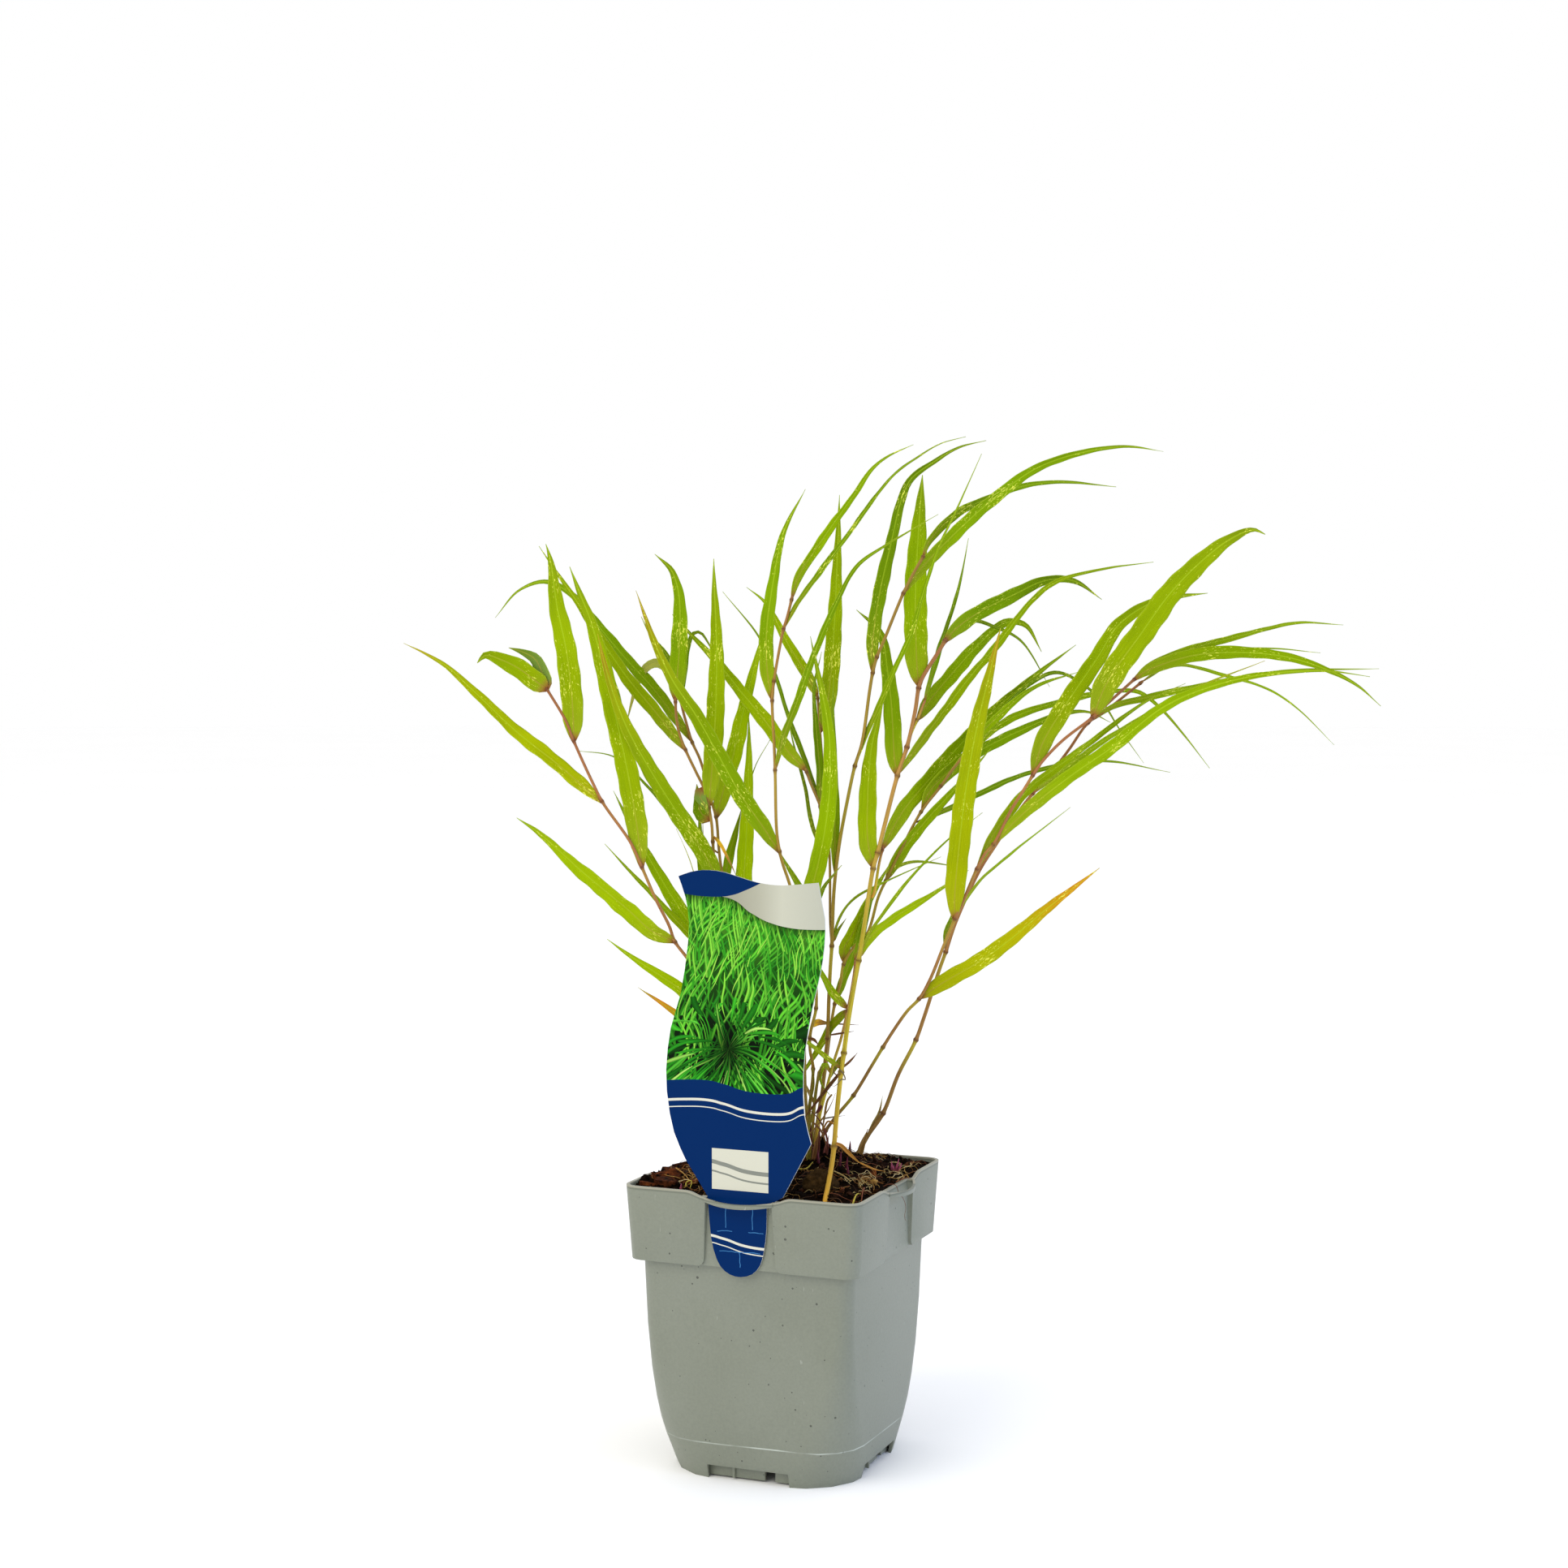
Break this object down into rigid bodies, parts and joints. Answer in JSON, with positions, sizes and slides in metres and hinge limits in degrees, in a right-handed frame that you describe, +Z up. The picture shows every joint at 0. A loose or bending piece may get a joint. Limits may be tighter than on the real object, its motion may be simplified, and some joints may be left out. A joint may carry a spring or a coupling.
{
  "type": "potted japanese forest grass",
  "caption": "Young forest grass with arching blades on thin jointed stems, in a square tapered nursery pot with soil and a plant label in the rim slot.",
  "frame": {"origin": "middle of the flat foot under the pot, on the surface that it stands on", "axes": "+Z up along the pot's axis, -Y out of the pot's front that holds the label, +X to the right seen from the front"},
  "size_m": [0.3944, 0.2113, 0.4527],
  "materials": {
    "pot_plastic": "satin moulded, lightly scuffed",
    "label_plastic": "printed",
    "potting_soil": "loose peat with bark crumbs",
    "grass": "satin leaf with fine veins",
    "dead_straw": "dry stem"
  },
  "bodies": {
    "root": {"pot": "pot_plastic", "label": "label_plastic", "soil": "potting_soil", "stem_left_outer": "grass", "stem_left_front": "grass", "stem_left_back": "grass", "stem_middle_front": "grass", "stem_middle": "grass", "stem_middle_right": "grass", "stem_stout": "grass", "stem_right_back": "grass", "stem_short": "grass", "stem_right_outer": "grass", "stem_right_rear": "grass", "dead_culm": "dead_straw"}
  },
  "joints": []
}
